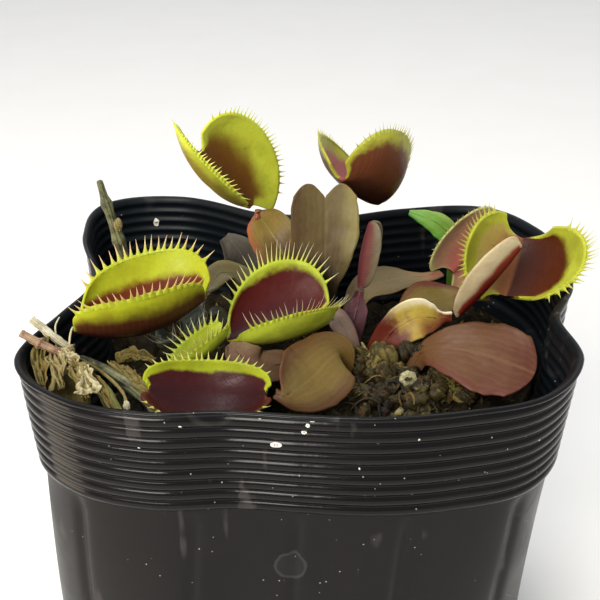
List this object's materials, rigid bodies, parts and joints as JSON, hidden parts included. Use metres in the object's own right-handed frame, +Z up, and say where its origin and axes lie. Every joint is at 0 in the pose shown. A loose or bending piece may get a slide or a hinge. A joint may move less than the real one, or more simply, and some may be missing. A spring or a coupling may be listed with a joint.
{
  "type": "potted venus flytrap",
  "caption": "Venus flytrap rosette with toothed open traps on waved leaves, in a soft ribbed round-cornered nursery pot filled with moss-topped mix.",
  "frame": {"origin": "centre of the pot's flat base, on the surface it rests on", "axes": "+Z up, -Y towards the front of the plant, +X to its right"},
  "size_m": [0.0935, 0.0854, 0.1101],
  "materials": {
    "trap_upper_left": "living leaf tissue, waxy skin",
    "trap_upper_right": "living leaf tissue, waxy skin",
    "trap_left": "living leaf tissue, waxy skin",
    "trap_centre": "living leaf tissue, waxy skin",
    "trap_front": "living leaf tissue, waxy skin",
    "trap_small": "living leaf tissue, waxy skin",
    "trap_right": "living leaf tissue, waxy skin",
    "trap_back": "living leaf tissue, waxy skin",
    "young_trap_upright": "living leaf tissue, waxy skin",
    "young_trap_leaning": "living leaf tissue, waxy skin",
    "old_trap": "dry weathered plant fibre",
    "leaf_upper_left": "living leaf tissue, waxy skin",
    "leaf_upper_right": "living leaf tissue, waxy skin",
    "leaf_left": "living leaf tissue, waxy skin",
    "leaf_centre": "living leaf tissue, waxy skin",
    "leaf_front": "living leaf tissue, waxy skin",
    "leaf_small": "living leaf tissue, waxy skin",
    "leaf_right": "living leaf tissue, waxy skin",
    "leaf_back": "living leaf tissue, waxy skin",
    "young_leaf_upright": "living leaf tissue, waxy skin",
    "young_leaf_leaning": "living leaf tissue, waxy skin",
    "leaf_broad_right": "living leaf tissue, waxy skin",
    "old_leaf": "living leaf tissue, waxy skin",
    "leaf_dark_back": "living leaf tissue, waxy skin",
    "leaf_green_small": "living leaf tissue, waxy skin",
    "dry_moss": "dry weathered plant fibre",
    "dead_flower_stalk": "dry weathered plant fibre",
    "mossy_stem": "dry weathered plant fibre",
    "green_stem": "dry weathered plant fibre",
    "cut_stalk": "dry weathered plant fibre",
    "pale_stem": "dry weathered plant fibre",
    "brown_stem": "dry weathered plant fibre",
    "pot": "thin moulded black polyethylene, slightly glossy",
    "growing_mix": "moist crumbly peat with living and dead moss on top"
  },
  "bodies": {
    "root": {"trap_upper_left": "trap_upper_left", "trap_upper_right": "trap_upper_right", "trap_left": "trap_left", "trap_centre": "trap_centre", "trap_front": "trap_front", "trap_small": "trap_small", "trap_right": "trap_right", "trap_back": "trap_back", "young_trap_upright": "young_trap_upright", "young_trap_leaning": "young_trap_leaning", "old_trap": "old_trap", "leaf_upper_left": "leaf_upper_left", "leaf_upper_right": "leaf_upper_right", "leaf_left": "leaf_left", "leaf_centre": "leaf_centre", "leaf_front": "leaf_front", "leaf_small": "leaf_small", "leaf_right": "leaf_right", "leaf_back": "leaf_back", "young_leaf_upright": "young_leaf_upright", "young_leaf_leaning": "young_leaf_leaning", "leaf_broad_right": "leaf_broad_right", "old_leaf": "old_leaf", "leaf_dark_back": "leaf_dark_back", "leaf_green_small": "leaf_green_small", "dry_moss": "dry_moss", "dead_flower_stalk": "dead_flower_stalk", "mossy_stem": "mossy_stem", "green_stem": "green_stem", "cut_stalk": "cut_stalk", "pale_stem": "pale_stem", "brown_stem": "brown_stem", "pot": "pot", "growing_mix": "growing_mix"}
  },
  "joints": []
}
